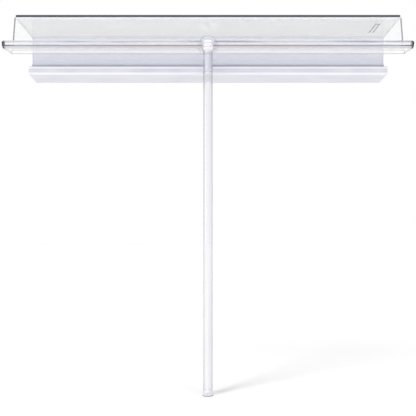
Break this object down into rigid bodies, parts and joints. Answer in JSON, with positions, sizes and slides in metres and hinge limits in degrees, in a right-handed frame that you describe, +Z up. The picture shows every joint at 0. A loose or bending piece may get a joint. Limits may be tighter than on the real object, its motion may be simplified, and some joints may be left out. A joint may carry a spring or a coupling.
{
  "type": "sign stand",
  "caption": "T-shaped sign stand: a long clear head with a front card ledge and a rear rail, on a ball joint at the top of a solid clear pole with a tapped foot.",
  "frame": {"origin": "centre of the mouth of the tapped hole in the pole's bottom face", "axes": "+X along the head, to the right seen from the front; +Y towards the back; +Z up along the pole; the ledge is at the front, on -Y"},
  "size_m": [0.51, 0.123, 0.5],
  "materials": {
    "clear_sheet": "polished clear acrylic sheet, dark at its cut edges",
    "cement": "clear cement and clear bonding film",
    "hazy_rail": "hazy, faintly lavender extruded plastic, satin",
    "gasket": "soft grey gasket, matte",
    "label": "blank satin film",
    "clear_joint": "polished clear moulded plastic",
    "liner": "translucent natural low-friction plastic",
    "stud": "natural translucent nylon",
    "clear_rod": "polished clear acrylic rod"
  },
  "bodies": {
    "pole": {"pole": "clear_rod", "foot_collar": "clear_rod", "swivel_washer": "stud"},
    "ball": {"ball": "clear_joint", "ball_stud": "stud"},
    "liner": {"socket_liner": "liner"},
    "head": {"cover": "clear_sheet", "front_ledge": "clear_sheet", "front_bond": "cement", "rear_rail": "hazy_rail", "rail_cap_left": "hazy_rail", "rail_cap_right": "hazy_rail", "edge_gasket": "gasket", "blank_label": "label", "socket_cup": "clear_joint", "cup_bond": "cement", "socket_ring": "clear_joint"}
  },
  "joints": [
    {"name": "head_swivel", "type": "hinge", "parent": "pole", "child": "ball", "pos_m": [0, 0, 0.47], "axis": [0, 0, 1], "continuous": true},
    {"name": "head_tilt", "type": "hinge", "parent": "ball", "child": "liner", "pos_m": [0, 0, 0.47], "axis": [1, 0, 0], "range_deg": [-25, 25]},
    {"name": "head_roll", "type": "hinge", "parent": "liner", "child": "head", "pos_m": [0, 0, 0.47], "axis": [0, 1, 0], "range_deg": [-20, 20]}
  ]
}
